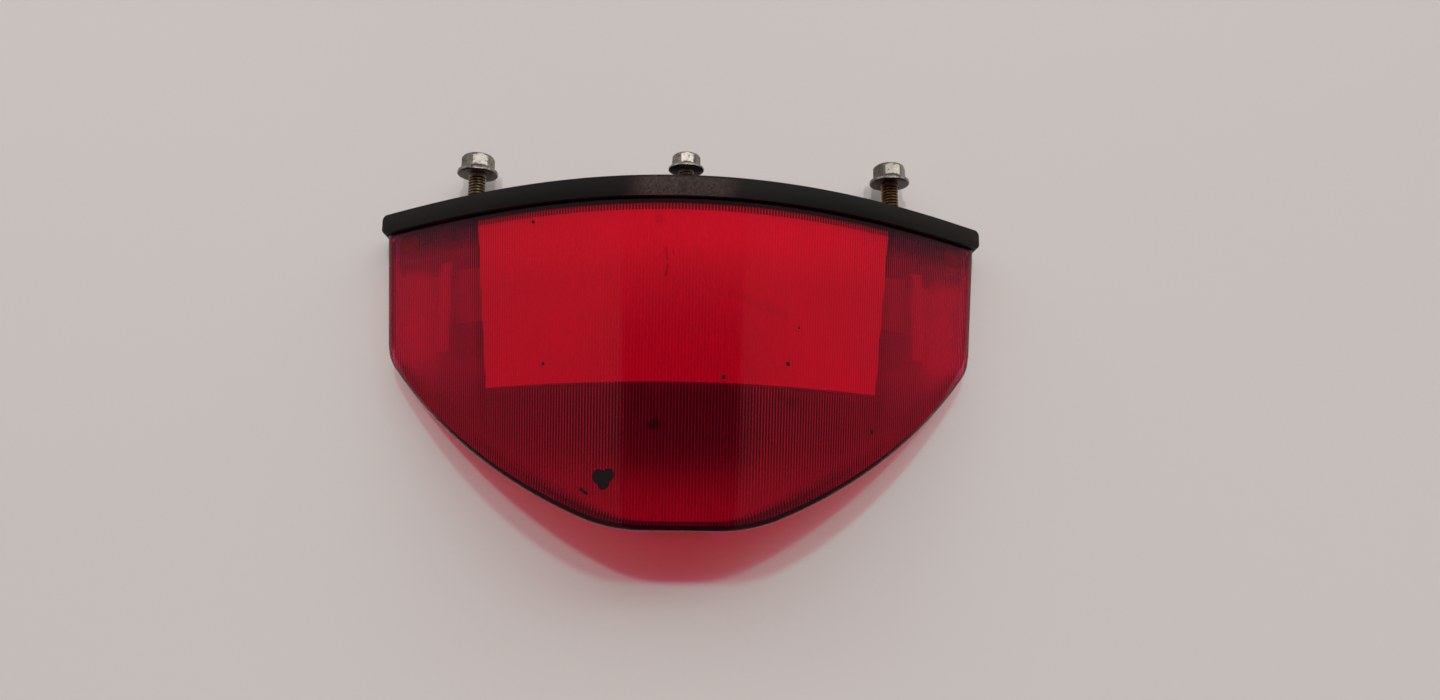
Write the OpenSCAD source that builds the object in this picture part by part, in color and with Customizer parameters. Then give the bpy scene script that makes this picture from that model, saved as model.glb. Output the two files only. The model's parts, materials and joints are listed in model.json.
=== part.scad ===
// Motorcycle tail light, lying on its flat front wall.
// +X is across the lamp, +Y is the direction of the mounting bolts (up when mounted),
// +Z is out of the lens (to the rear when mounted). Millimetres.

/* [Housing] */
// Overall width of the housing rim
rim_w = 200; // [197:1:203]
// Depth of the curved rear edge, from the ends to the crown
rim_sag = 46.6; // [45:0.2:48]
// Straight depth of the two ends
end_d = 16; // [15.5:0.5:18]
// How far the bend is gathered at the crown (0 is a plain parabola)
crown = 0.17; // [0.1:0.01:0.2]
// Visible height of the rim band
rim_h = 6.2; // [5.8:0.1:6.8]
// Thickness of the rim band
rim_t = 1.5; // [1.2:0.1:1.5]
// Thickness of the roof
roof_t = 3; // [2.6:0.1:3.2]
// Thickness of the flat front wall
wall_t = 3; // [2.8:0.1:3.2]

/* [Lens] */
// Height of the lens below the rim
lens_h = 96.4; // [95:0.2:98]
// Thickness of the lens face
lens_t = 2.4; // [2.2:0.1:2.6]
// Thickness of the lens wall along the bottom
wall_low = 2.3; // [2.2:0.1:2.6]
// Thickness of the lens wall up the sides
wall_side = 1.2; // [1.1:0.1:1.6]
// Narrowing of the lens towards its bottom, per 100 mm of height
lens_taper = 0.069; // [0.06:0.001:0.075]
// Radius of the side corners of the outline
side_r = 14; // [12:0.5:16]
// Radius of the long slanted edges of the outline
slant_r = 164; // [160:1:168]
// Radius of the bottom corners of the outline
bottom_r = 48; // [46:0.5:50]
// Thickness of the gasket
gasket_t = 1.2; // [1.0:0.1:1.3]

/* [Reflex reflector] */
// Half width of the panel at its top edge
reflex_top = 64; // [62:0.5:64]
// Half width of the panel at its bottom edge
reflex_bot = 58.8; // [58:0.2:61]
// Distance of the panel's bottom edge below the rim's top
reflex_low = 60.2; // [58:0.2:61]
// Thickness of the panel
reflex_t = 2.5; // [2:0.1:2.6]

/* [Mounting bolts] */
// Distance between the two outer bolts
bolt_span = 141; // [140:0.5:142]
// Distance of the outer bolts from the front face
bolt_z = 12; // [11.5:0.5:13]
// How far the left bolt stands out, rim top to flange
left_out = 16.5; // [14:0.1:18]
// How far the right bolt stands out, rim top to flange
right_out = 17.2; // [14:0.1:18]
// How far the centre bolt stands out, rim top to flange
centre_out = 9.2; // [7:0.1:10]
// Distance of the centre bolt from the front face
centre_z = 41; // [40:0.5:42]
// Length of the outer bolts under the flange
bolt_len = 25; // [22:1:28]
// Length of the centre bolt under the flange
centre_len = 30; // [28:1:32]

/* [Bulbs] */
// Distance of each bulb from the middle
bulb_x = 40; // [38:0.5:41]
// Distance of the bulbs from the front face
bulb_z = 27; // [26.5:0.5:27.5]
// Radius of the glass globe
globe_r = 9.2; // [8.4:0.1:9.4]
// Travel of the sprung contact
push = 2.2; // [1.8:0.1:2.3]
// Turn of the bulb in its socket, in degrees
turn = 20; // [15:1:25]

/* [Hidden] */
$fn = 48;

lens_gap = 0.3;                      // lens to the inside of the rim
lens_in = rim_t + lens_gap;          // lens face behind the rim face
lens_top = -roof_t - gasket_t;       // top edge of the lens
lens_bot = -rim_h - lens_h;          // lowest point of the lens
lens_z = wall_t + gasket_t;          // front edge of the lens
seat_y = 3;                          // top of the bolt seats above the roof
head_k = 7.0;                        // head height of the outer bolts
head_k5 = 5.4;                       // head height of the centre bolt
y_mid = -(lens_bot + max(left_out, right_out) + head_k) / 2;
steps = 36;                          // chords along half of the rear curve
slant_a = 23;                        // slope where bottom corner and slant meet
side_a = 51;                         // slope where slant and side corner meet
edge_a = 90 - atan(lens_taper * (rim_w / 2 - lens_in) / 100);

// heights of the bulb group below the top of the rim
carrier_y = -13;
carrier_t = 1.2;
socket_top = -6;
socket_bot = -28;
pin_y = -24.2;
cap_top = -18.8;
cap_bot = -34;
globe_y = -46;

// ---- rear curve of the roof, seen along the bolts -------------------------------------
function rim_z(x) = let (t = 2 * x / rim_w)
    end_d + rim_sag * (1 - (1 + crown) * t * t + crown * t * t * t * t);
function rim_slope(x) = let (t = 2 * x / rim_w)
    2 * rim_sag / rim_w * (-2 * (1 + crown) * t + 4 * crown * t * t * t);
// a point of the curve moved inwards by d
function inset_pt(x, d) = let (s = rim_slope(x), n = sqrt(1 + s * s))
    [x + d * s / n, rim_z(x) - d / n];
// closed half-moon, moved inwards by d, with upright ends
function moon(d, z0) = let (s = rim_slope(rim_w / 2), h = rim_w / 2 - d,
        xe = rim_w / 2 - d * (1 + s / sqrt(1 + s * s)))
    concat([[-h, z0]],
           [for (i = [-steps:steps]) let (p = inset_pt(i / steps * xe, d))
               [min(max(p[0], -h), h), p[1]]],
           [[h, z0]]);
// the same curve carried on past the ends
function wide_moon(d, z0) = let (xe = rim_w / 2 + 6)
    concat([[-xe - 2, z0]],
           [for (i = [-steps:steps]) inset_pt(i / steps * xe, d)],
           [[xe + 2, z0]]);

// ---- outline of the lens, seen along the face -----------------------------------------
flat_x = rim_w / 2 - lens_in - bottom_r * sin(slant_a)
    - slant_r * (sin(side_a) - sin(slant_a)) - side_r * (sin(edge_a) - sin(side_a))
    - (lens_top - (lens_bot + bottom_r * (1 - cos(slant_a))
        + slant_r * (cos(slant_a) - cos(side_a))
        + side_r * (cos(side_a) - cos(edge_a)))) / tan(edge_a);
c_bottom = [flat_x, lens_bot + bottom_r];
c_slant = c_bottom + (bottom_r - slant_r) * [sin(slant_a), -cos(slant_a)];
c_side = c_slant + (slant_r - side_r) * [sin(side_a), -cos(side_a)];
// a wall of full thickness below, thinning round the side corners; d is 0 at the outer
// face of the wall and 1 at its inner face, and grow moves the line further in
function wall_d(a) = let (u = max(0, min(1, (a - slant_a) / (side_a + 12 - slant_a))))
    wall_low + (wall_side - wall_low) * u * u * (3 - 2 * u);
function on_arc(c, r, a, d, grow) = c + (r - d * wall_d(a) - grow) * [sin(a), -cos(a)];
function half_outline(d, y1, grow = 0) = let (e = on_arc(c_side, side_r, edge_a, d, grow))
    concat([for (i = [0:8]) on_arc(c_bottom, bottom_r, slant_a * i / 8, d, grow)],
           [for (i = [1:14]) on_arc(c_slant, slant_r, slant_a + (side_a - slant_a) * i / 14, d, grow)],
           [for (i = [1:8]) on_arc(c_side, side_r, side_a + (edge_a - side_a) * i / 8, d, grow)],
           [[e[0] + (y1 - e[1]) / tan(edge_a), y1]]);
function outline(d, y1) = let (h = half_outline(d, y1), n = len(h))
    concat(h, [for (i = [n - 1:-1:0]) [-h[i][0], h[i][1]]]);

// ---- placing helpers ------------------------------------------------------------------
module lie() translate([0, y_mid, 0]) children();
// stands an upright shape along +Y
module along_y(x, y, z) translate([x, y, z]) rotate([-90, 0, 0]) children();
// round bar from y0 to y1
module bar(x, z, y0, y1, r) along_y(x, y0, z) cylinder(h = y1 - y0, r = r);
// slab of the half-moon from y1 down to y0
module moon_slab(d, y0, y1, z0) translate([0, y1, 0]) rotate([90, 0, 0])
    linear_extrude(height = y1 - y0) polygon(moon(d, z0));
// plate of the lens outline from z0 up to z1
module outline_plate(d, z0, z1, y1) translate([0, 0, z0])
    linear_extrude(height = z1 - z0) polygon(outline(d, y1));
// solid behind the lens face, narrowing downwards, from the lens top to y0
module face_solid(d, y0) translate([0, lens_top, 0]) rotate([90, 0, 0])
    linear_extrude(height = lens_top - y0, scale = 1 - lens_taper * (lens_top - y0) / 100)
        polygon(wide_moon(d, -8));
// box given by its two corners
module block(a, b) translate(a) cube([b[0] - a[0], b[1] - a[1], b[2] - a[2]]);

// ---- housing --------------------------------------------------------------------------
post_x = 89;
post_y = -10.5;
screw_x = 20;
screw_y = -34;
grommet_x = 38;
grommet_z = 41;
hook_x = flat_x - 0.4;
hook_y = lens_bot + wall_low - 0.3;

module housing() color([0.10, 0.09, 0.09]) lie() difference() {
    union() {
        moon_slab(0, -roof_t, 0, 0);
        difference() {
            moon_slab(0, -rim_h, -roof_t + 0.01, 0);
            moon_slab(rim_t, -rim_h - 1, -roof_t + 0.5, -1);
        }
        outline_plate(0, 0, wall_t, -roof_t + 0.01);
        block([-rim_w / 2 + rim_t - 0.1, -rim_h, 0], [rim_w / 2 - rim_t + 0.1, -roof_t + 0.01, wall_t]);
        // bolt bosses, tied to the front wall
        for (s = [-1, 1]) {
            bar(s * bolt_span / 2, bolt_z, -17, -roof_t + 0.01, 7);
            bar(s * bolt_span / 2, bolt_z, -0.01, seat_y, 8);
            block([s * bolt_span / 2 - 2, -16, wall_t - 0.01],
                  [s * bolt_span / 2 + 2, -roof_t + 0.01, bolt_z - 3]);
            // posts for the reflector
            translate([s * screw_x, screw_y, wall_t - 0.01]) cylinder(h = 2.51, r = 4);
        }
        bar(0, centre_z, carrier_y + 0.05, -roof_t + 0.01, 7);
        bar(0, centre_z, -0.01, seat_y, 7);
        // seat for the bracket
        block([-50, -0.01, 6], [50, seat_y, 30]);
    }
    for (s = [-1, 1]) {
        bar(s * bolt_span / 2, bolt_z, -11.1, seat_y + 1, 4.55);
        bar(s * bolt_span / 2, bolt_z, -18, -11, 3.4);
        // countersunk holes for the lens screws
        translate([s * post_x, post_y, -1]) cylinder(h = wall_t + 2, r = 1.75);
        translate([s * post_x, post_y, 0.25]) cylinder(h = 2, r1 = 3.5, r2 = 1.7);
        translate([s * post_x, post_y, -1]) cylinder(h = 1.26, r = 3.5);
        translate([s * screw_x, screw_y, 1.2]) cylinder(h = 6, r = 1.55);
    }
    bar(0, centre_z, -20, seat_y + 1, 2.75);
    bar(grommet_x, grommet_z, -roof_t - 1, 1, 6);
    // slot and pocket for the lens hook
    block([-hook_x - 0.4, hook_y - 0.4, -1], [hook_x + 0.4, hook_y + 2.1, wall_t + 1]);
    block([-hook_x - 0.4, hook_y, -1], [hook_x + 0.4, hook_y + 3.3, wall_t - 0.8]);
}

// ---- lens -----------------------------------------------------------------------------
module lens_body() intersection() {
    face_solid(lens_in, lens_bot - 1);
    outline_plate(0, lens_z, 80, lens_top + 1);
}
module lens() color([0.62, 0.03, 0.06]) lie() difference() {
    union() {
        difference() {
            lens_body();
            intersection() {
                union() {
                    face_solid(lens_in + lens_t, lens_bot - 1);
                    block([-100, lens_top - 0.01, -8], [100, lens_top + 2, 90]);
                }
                outline_plate(1, -2, 90, lens_top + 1);
            }
            // open top edge
            difference() {
                block([-120, lens_top - 0.2, lens_z - 1], [120, lens_top + 2, 90]);
                moon_slab(lens_in, lens_top - 1, lens_top, -1);
            }
        }
        // screw posts tied to the side walls
        intersection() {
            lens_body();
            union() for (s = [-1, 1]) {
                translate([s * post_x, post_y, lens_z]) cylinder(h = 30, r = 3.6);
                block([s * (post_x + 4.5) - 4, post_y - 1, lens_z], [s * (post_x + 4.5) + 4, post_y + 1, 60]);
            }
        }
        // hook behind the bottom wall
        block([-hook_x, hook_y, 0.9], [hook_x, hook_y + 1.8, lens_z + 5]);
        block([-hook_x, hook_y + 0.5, 0.9], [hook_x, hook_y + 2.9, 1.8]);
    }
    for (s = [-1, 1]) translate([s * post_x, post_y, lens_z - 1]) cylinder(h = 11, r = 1.5);
}

reflex_in = lens_in + lens_t + 0.35;
module reflex_reflector() color([0.75, 0.05, 0.09]) lie() {
    intersection() {
        difference() {
            face_solid(reflex_in, lens_bot - 1);
            face_solid(reflex_in + reflex_t, lens_bot - 2);
        }
        translate([0, 0, 5]) linear_extrude(height = 80)
            polygon([[-reflex_top, -7.2], [reflex_top, -7.2],
                     [reflex_bot, -reflex_low], [-reflex_bot, -reflex_low]]);
    }
    // side tabs, set back to half the thickness
    intersection() {
        difference() {
            face_solid(reflex_in + reflex_t / 2, lens_bot - 1);
            face_solid(reflex_in + reflex_t, lens_bot - 2);
        }
        translate([-69.8, -39, 5]) cube([139.6, 17, 80]);
    }
}

module lens_gasket() color([0.05, 0.05, 0.05]) lie() difference() {
    union() {
        difference() {
            outline_plate(0, wall_t, lens_z, -roof_t - 0.5);
            outline_plate(1, wall_t - 1, lens_z + 1, 10);
        }
        difference() {
            moon_slab(lens_in + 0.3, lens_top, -roof_t, wall_t + 0.4);
            moon_slab(lens_in + lens_t - 0.3, lens_top - 1, 10, -5);
        }
    }
    block([-hook_x - 0.4, hook_y - 0.3, -1], [hook_x + 0.4, hook_y + 6, lens_z + 1]);
}

// ---- reflector ------------------------------------------------------------------------
tray_z = wall_t + 2.5;
module reflector() color([0.85, 0.85, 0.86]) lie() difference() {
    union() {
        // plate over the front wall, clear of the lens wall and of its hook
        translate([0, 0, tray_z]) linear_extrude(height = 1.2)
            let (h = half_outline(1, -9.4, 3.1), n = len(h))
                polygon(concat(h, [[79, -9.4], [79, -18], [-79, -18], [-79, -9.4]],
                               [for (i = [n - 1:-1:0]) [-h[i][0], h[i][1]]]));
        // side fins with turned-over edges
        translate([0, -18.2, 0]) rotate([90, 0, 0]) linear_extrude(height = 29) for (s = [-1, 1])
            polygon([[s * 74.7, tray_z + 1.1], [s * 75.9, tray_z + 1.1], [s * 75.9, 22.9], [s * 76.3, 22.6],
                     [s * 76.3, 23.8], [s * 72.3, 26.5], [s * 72.3, 25.3], [s * 74.7, 23.7]]);
    }
    for (s = [-1, 1]) {
        translate([s * screw_x, screw_y, tray_z - 1]) cylinder(h = 4, r = 1.7);
        // notches round the screw posts of the lens
        translate([s * post_x, post_y, tray_z - 1]) cylinder(h = 4, r = 5);
    }
}
module reflector_screws() color([0.75, 0.75, 0.72]) lie() for (s = [-1, 1])
    translate([s * screw_x, screw_y, 0]) difference() {
        union() {
            translate([0, 0, 1.6]) cylinder(h = tray_z + 1.2 - 1.6 + 0.1, r = 1.5);
            translate([0, 0, tray_z + 1.2]) cylinder(h = 1.2, r = 3);
            translate([0, 0, tray_z + 2.4]) cylinder(h = 0.8, r1 = 3, r2 = 2.1);
        }
        translate([-1.6, -0.35, tray_z + 2.2]) cube([3.2, 0.7, 2]);
        translate([-0.35, -1.6, tray_z + 2.2]) cube([0.7, 3.2, 2]);
    }
module lens_screws() color([0.75, 0.75, 0.72]) lie() for (s = [-1, 1])
    translate([s * post_x, post_y, 0]) difference() {
        union() {
            translate([0, 0, 0.3]) cylinder(h = 1.9, r1 = 3.4, r2 = 1.6);
            translate([0, 0, 0.4]) cylinder(h = 12.6, r = 1.45);
        }
        translate([-1.6, -0.35, -1]) cube([3.2, 0.7, 2]);
        translate([-0.35, -1.6, -1]) cube([0.7, 3.2, 2]);
    }

// ---- bolts and inserts ----------------------------------------------------------------
module threaded_inserts() color([0.72, 0.55, 0.25]) lie() for (s = [-1, 1])
    along_y(s * bolt_span / 2, -10.9, bolt_z) difference() {
        union() {
            cylinder(h = 13.6, r = 4.5);
        }
        translate([0, 0, -1]) cylinder(h = 16, r = 3.02);
        translate([0, 0, 12.8]) cylinder(h = 1, r1 = 3.02, r2 = 3.6);
        for (h = [3.5, 8]) translate([0, 0, h]) difference() {
            cylinder(h = 1.2, r = 6);
            translate([0, 0, -1]) cylinder(h = 4, r = 4.1);
        }
    }
// hex flange bolt, flange seat at height 0, head towards +
module flange_bolt(d, l, af, fl, k) {
    translate([0, 0, -l]) cylinder(h = 0.6, r1 = d / 2 - 0.65, r2 = d / 2 - 0.05);
    translate([0, 0, -l + 0.6]) cylinder(h = l, r = d / 2 - 0.05);
    cylinder(h = 0.22 * k, r = fl / 2);
    translate([0, 0, 0.22 * k - 0.001]) cylinder(h = 0.16 * k, r1 = fl / 2, r2 = af / 2);
    difference() {
        intersection() {
            cylinder(h = k, r = af / sqrt(3), $fn = 6);
            union() {
                cylinder(h = k - 0.8, r = af);
                translate([0, 0, k - 0.801]) cylinder(h = 0.8, r1 = af / sqrt(3) + 0.1, r2 = af / 2 - 0.1);
            }
        }
        translate([0, 0, k - 0.7]) cylinder(h = 1, r = af * 0.36);
    }
}
module mount_bolt_left() color([0.62, 0.60, 0.56]) lie()
    along_y(-bolt_span / 2, left_out, bolt_z) flange_bolt(6, bolt_len, 10, 13.6, head_k);
module mount_bolt_right() color([0.62, 0.60, 0.56]) lie()
    along_y(bolt_span / 2, right_out, bolt_z) flange_bolt(6, bolt_len, 10, 13.6, head_k);
module centre_bolt() color([0.62, 0.60, 0.56]) lie()
    along_y(0, centre_out, centre_z) flange_bolt(5, centre_len, 8, 11.2, head_k5);

module cable_grommet() color([0.07, 0.07, 0.07]) lie() along_y(grommet_x, 0, grommet_z)
    difference() {
        union() {
            translate([0, 0, -roof_t]) cylinder(h = roof_t + 0.1, r = 5.98);
            cylinder(h = 1.2, r = 8);
            translate([0, 0, 1.199]) cylinder(h = 0.8, r1 = 8, r2 = 6.4);
            translate([0, 0, -roof_t - 1.2]) cylinder(h = 1.2, r = 7.6);
            translate([0, 0, -roof_t - 2]) cylinder(h = 0.801, r1 = 6, r2 = 7.6);
        }
        translate([0, 0, -10]) cylinder(h = 20, r = 3);
    }

// ---- bulb carrier and sockets -----------------------------------------------------------
rivet_dx = 13;
module bulb_carrier() color([0.70, 0.70, 0.66]) lie() difference() {
    union() {
        block([-58, carrier_y - carrier_t, 18], [58, carrier_y, 36]);
        block([-10, carrier_y - carrier_t, 35], [10, carrier_y, 49]);
        // earth tab
        block([-3.15, carrier_y - carrier_t, 18], [3.15, carrier_y + 8, 18.8]);
    }
    for (s = [-1, 1]) {
        bar(s * bulb_x, bulb_z, carrier_y - 3, carrier_y + 1, 8.8);
        for (r = [-1, 1])
            bar(s * bulb_x + r * rivet_dx, bulb_z, carrier_y - 3, carrier_y + 1, 1.55);
    }
    bar(0, centre_z, carrier_y - 3, carrier_y + 1, 2.75);
}
module carrier_nut() color([0.68, 0.68, 0.64]) lie()
    along_y(0, carrier_y - carrier_t - 4, centre_z) difference() {
        cylinder(h = 4, r = 8 / sqrt(3), $fn = 6);
        translate([0, 0, -1]) cylinder(h = 6, r = 2.52);
    }
module socket_rivets() color([0.72, 0.55, 0.25]) lie()
    for (s = [-1, 1]) for (r = [-1, 1])
        along_y(s * bulb_x + r * rivet_dx, 0, bulb_z) {
            translate([0, 0, carrier_y - carrier_t - 1.2 - 0.6]) cylinder(h = 0.6, r = 2.6);
            translate([0, 0, carrier_y - carrier_t - 1.3]) cylinder(h = carrier_t + 1.4, r = 1.5);
            translate([0, 0, carrier_y]) cylinder(h = 0.6, r = 2.6);
        }

slot_w = asin(1.3 / 8.2);            // half width of the bayonet slot, in degrees
// sector of a ring about the socket axis
module sector(y0, y1, a0, a1) translate([0, 0, y0]) rotate([0, 0, a0])
    rotate_extrude(angle = a1 - a0) translate([6.5, 0]) square([4, y1 - y0]);
module socket_shell(s) lie() along_y(s * bulb_x, 0, bulb_z) difference() {
    union() {
        translate([0, 0, socket_bot]) cylinder(h = socket_top - socket_bot, r = 8.7);
        translate([0, 0, carrier_y - carrier_t - 1.2]) {
            cylinder(h = 1.2, r = 9.8);
            for (r = [-1, 1]) translate([r * rivet_dx, 0, 0]) cylinder(h = 1.2, r = 3.4);
            translate([-rivet_dx, -3.4, 0]) cube([2 * rivet_dx, 6.8, 1.2]);
        }
    }
    translate([0, 0, socket_bot - 1]) cylinder(h = socket_top - socket_bot + 2, r = 7.85);
    for (r = [-1, 1]) translate([r * rivet_dx, 0, carrier_y - carrier_t - 2]) cylinder(h = 4, r = 1.55);
    for (a = [0, 180]) {
        sector(pin_y - 1.3, pin_y + 1.3 + push, a - turn - slot_w, a + slot_w);
        sector(socket_bot - 1, pin_y, a - turn - slot_w, a - turn + slot_w);
    }
}
module socket_left() color([0.74, 0.72, 0.66]) socket_shell(-1);
module socket_right() color([0.74, 0.72, 0.66]) socket_shell(1);

module insulator(s) lie() along_y(s * bulb_x, 0, bulb_z) difference() {
    translate([0, 0, socket_top - 2]) cylinder(h = 2, r = 7.8);
    translate([0, 0, socket_top - 3]) cylinder(h = 4, r = 1.3);
}
module socket_insulator_left() color([0.45, 0.27, 0.13]) insulator(-1);
module socket_insulator_right() color([0.45, 0.27, 0.13]) insulator(1);

module terminal_blades() color([0.72, 0.55, 0.25]) lie() for (s = [-1, 1])
    along_y(s * bulb_x, socket_top, bulb_z) difference() {
        union() {
            cylinder(h = 1.4, r = 3.15);
            translate([s > 0 ? 0 : -17, -3.15, 0.6]) cube([17, 6.3, 0.8]);
        }
        translate([0, 0, -1]) cylinder(h = 4, r = 1.3);
        translate([s * 13.5, 0, 0]) cylinder(h = 3, r = 0.8);
    }

// coil about the plunger stem, between the insulator and the plunger
coil_r = 4;
wire_r = 0.4;
coil_n = 4;
coil_y0 = -13.5 + wire_r;
coil_y1 = socket_top - 2.1 - wire_r;
function coil_pt(u) = [coil_r * cos(360 * coil_n * u), coil_y0 + (coil_y1 - coil_y0) * u,
                       coil_r * sin(360 * coil_n * u)];
module coil(s) let (n = 20 * coil_n, m = 6) lie() translate([s * bulb_x, 0, bulb_z])
    polyhedron(
        points = [for (i = [0:n]) for (j = [0:m - 1])
            let (a = 360 * coil_n * i / n, b = 360 * j / m, p = coil_pt(i / n))
            p + wire_r * (cos(b) * [cos(a), 0, sin(a)] + sin(b) * [0, 1, 0])],
        faces = concat(
            [[for (j = [0:m - 1]) j]],
            [for (i = [0:n - 1]) for (j = [0:m - 1])
                [i * m + j, (i + 1) * m + j, (i + 1) * m + (j + 1) % m, i * m + (j + 1) % m]],
            [[for (j = [m - 1:-1:0]) n * m + j]]));
module contact_spring_left() color([0.7, 0.7, 0.7]) coil(-1);
module contact_spring_right() color([0.7, 0.7, 0.7]) coil(1);

module plunger(s) lie() along_y(s * bulb_x, 0, bulb_z) {
    translate([0, 0, -15.6]) cylinder(h = 2, r = 6.8);
    translate([0, 0, -15]) cylinder(h = 6.7, r = 1);
    translate([0, 0, -16.2]) cylinder(h = 0.7, r = 2.2);
}
module contact_plunger_left() color([0.50, 0.31, 0.15]) plunger(-1);
module contact_plunger_right() color([0.50, 0.31, 0.15]) plunger(1);

// ---- bulbs ----------------------------------------------------------------------------
module cap(s) lie() along_y(s * bulb_x, 0, bulb_z) {
    difference() {
        translate([0, 0, cap_bot]) cylinder(h = cap_top - cap_bot, r = 7.5);
        translate([0, 0, cap_bot - 1]) cylinder(h = cap_top - cap_bot, r = 6.7);
    }
    translate([0, 0, cap_top - 0.01]) cylinder(h = 1.41, r1 = 7, r2 = 4.6);
    translate([0, 0, cap_top + 1.39]) cylinder(h = 0.81, r = 2.3);
    for (a = [0, 180]) rotate([0, 0, a]) translate([7, 0, pin_y]) rotate([0, 90, 0])
        cylinder(h = 1.5, r = 1);
}
module bulb_cap_left() color([0.72, 0.58, 0.30]) cap(-1);
module bulb_cap_right() color([0.72, 0.58, 0.30]) cap(1);

function globe(r, n) = let (a1 = acos(6.4 / globe_r))
    [for (i = [0:n]) let (a = -90 + (90 + a1) * i / n) [r * cos(a), globe_y + r * sin(a)]];
module glass(s) lie() along_y(s * bulb_x, 0, bulb_z) rotate_extrude()
    polygon(concat(globe(globe_r, 16), [[6.4, -31], [5.7, -31]],
                   [for (p = [for (i = [16:-1:0]) globe(globe_r - 0.7, 16)[i]]) [max(p[0], 0), p[1]]]));
module bulb_glass_left() color([0.9, 0.95, 0.95, 0.4]) glass(-1);
module bulb_glass_right() color([0.9, 0.95, 0.95, 0.4]) glass(1);

module wires(s) lie() translate([s * bulb_x, 0, bulb_z]) {
    for (r = [-1, 1]) translate([r * 2.4, 0, 0]) rotate([-90, 0, 0])
        translate([0, 0, -46]) cylinder(h = 13, r = 0.25, $fn = 16);
    translate([-2.6, -46, 0]) rotate([0, 90, 0]) cylinder(h = 5.2, r = 0.4, $fn = 16);
    translate([-3.4, -36.5, 0]) rotate([0, 90, 0]) cylinder(h = 6.8, r = 0.8, $fn = 16);
}
module filament_left() color([0.35, 0.35, 0.37]) wires(-1);
module filament_right() color([0.35, 0.35, 0.37]) wires(1);

housing();
lens();
reflex_reflector();
lens_gasket();
reflector();
reflector_screws();
lens_screws();
threaded_inserts();
cable_grommet();
mount_bolt_left();
mount_bolt_right();
centre_bolt();
bulb_carrier();
carrier_nut();
socket_rivets();
socket_left();
socket_right();
socket_insulator_left();
socket_insulator_right();
terminal_blades();
contact_spring_left();
contact_spring_right();
contact_plunger_left();
contact_plunger_right();
bulb_cap_left();
bulb_cap_right();
bulb_glass_left();
bulb_glass_right();
filament_left();
filament_right();
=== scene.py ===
import bpy, bmesh, math, json
from mathutils import Vector, Matrix
from mathutils.geometry import delaunay_2d_cdt


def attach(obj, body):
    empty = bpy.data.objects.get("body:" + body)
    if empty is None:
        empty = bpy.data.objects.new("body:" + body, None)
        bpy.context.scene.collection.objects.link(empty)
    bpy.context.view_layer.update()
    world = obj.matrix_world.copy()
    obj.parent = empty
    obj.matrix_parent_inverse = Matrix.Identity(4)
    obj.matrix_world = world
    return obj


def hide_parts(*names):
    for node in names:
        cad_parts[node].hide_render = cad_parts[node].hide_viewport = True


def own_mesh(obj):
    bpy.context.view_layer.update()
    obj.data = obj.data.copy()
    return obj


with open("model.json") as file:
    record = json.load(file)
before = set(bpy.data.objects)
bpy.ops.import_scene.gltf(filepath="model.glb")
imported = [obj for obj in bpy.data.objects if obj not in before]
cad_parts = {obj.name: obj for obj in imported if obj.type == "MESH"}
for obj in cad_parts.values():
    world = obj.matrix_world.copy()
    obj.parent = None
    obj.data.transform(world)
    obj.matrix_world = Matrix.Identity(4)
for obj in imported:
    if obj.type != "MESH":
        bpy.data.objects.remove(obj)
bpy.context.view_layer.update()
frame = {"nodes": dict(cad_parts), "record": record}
N = frame["nodes"]
MM = 0.001
YM = 39.2                      # height of the rim's top plane in the row frame, mm

# ------------------------------------------------------------------ shape of the lamp, mm
RIM_W, SAG, END_D, CROWN = 200.0, 46.6, 16.0, 0.17
RIM_H, RIM_T, ROOF_T, WALL_T = 6.2, 1.5, 3.0, 3.0
LENS_IN, LENS_T, TAPER = 1.8, 2.4, 0.069
LENS_TOP, LENS_BOT, LENS_Z = -4.2, -102.6, 4.2
SIDE_R, SLANT_R, BOTTOM_R = 14.0, 164.0, 48.0
SLANT_A, SIDE_A = math.radians(23), math.radians(51)
EDGE_A = math.radians(90) - math.atan(TAPER * (RIM_W / 2 - LENS_IN) / 100)


def rim_z(x):
    t = 2 * x / RIM_W
    return END_D + SAG * (1 - (1 + CROWN) * t * t + CROWN * t ** 4)


def rim_slope(x):
    t = 2 * x / RIM_W
    return 2 * SAG / RIM_W * (-2 * (1 + CROWN) * t + 4 * CROWN * t ** 3)


def inset(x, d):
    s = rim_slope(x)
    n = math.sqrt(1 + s * s)
    return x + d * s / n, rim_z(x) - d / n


def narrow(y):
    return 1 - TAPER * (LENS_TOP - y) / 100


def polar(c, r, a):
    return c[0] + r * math.sin(a), c[1] - r * math.cos(a)


_y_side = (LENS_BOT + BOTTOM_R * (1 - math.cos(SLANT_A))
           + SLANT_R * (math.cos(SLANT_A) - math.cos(SIDE_A))
           + SIDE_R * (math.cos(SIDE_A) - math.cos(EDGE_A)))
FLAT_X = (RIM_W / 2 - LENS_IN - BOTTOM_R * math.sin(SLANT_A)
          - SLANT_R * (math.sin(SIDE_A) - math.sin(SLANT_A))
          - SIDE_R * (math.sin(EDGE_A) - math.sin(SIDE_A))
          - (LENS_TOP - _y_side) / math.tan(EDGE_A))
C_BOT = (FLAT_X, LENS_BOT + BOTTOM_R)
C_SLANT = polar(C_BOT, BOTTOM_R - SLANT_R, SLANT_A)
C_SIDE = polar(C_SLANT, SLANT_R - SIDE_R, SIDE_A)


WALL_LOW, WALL_SIDE = 1.7, 1.2


def wall_d(a):
    """Thickness of the lens wall where the outline has slope angle a."""
    u = max(0.0, min(1.0, (a - SLANT_A) / (SIDE_A + math.radians(12) - SLANT_A)))
    return WALL_LOW + (WALL_SIDE - WALL_LOW) * u * u * (3 - 2 * u)


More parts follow.
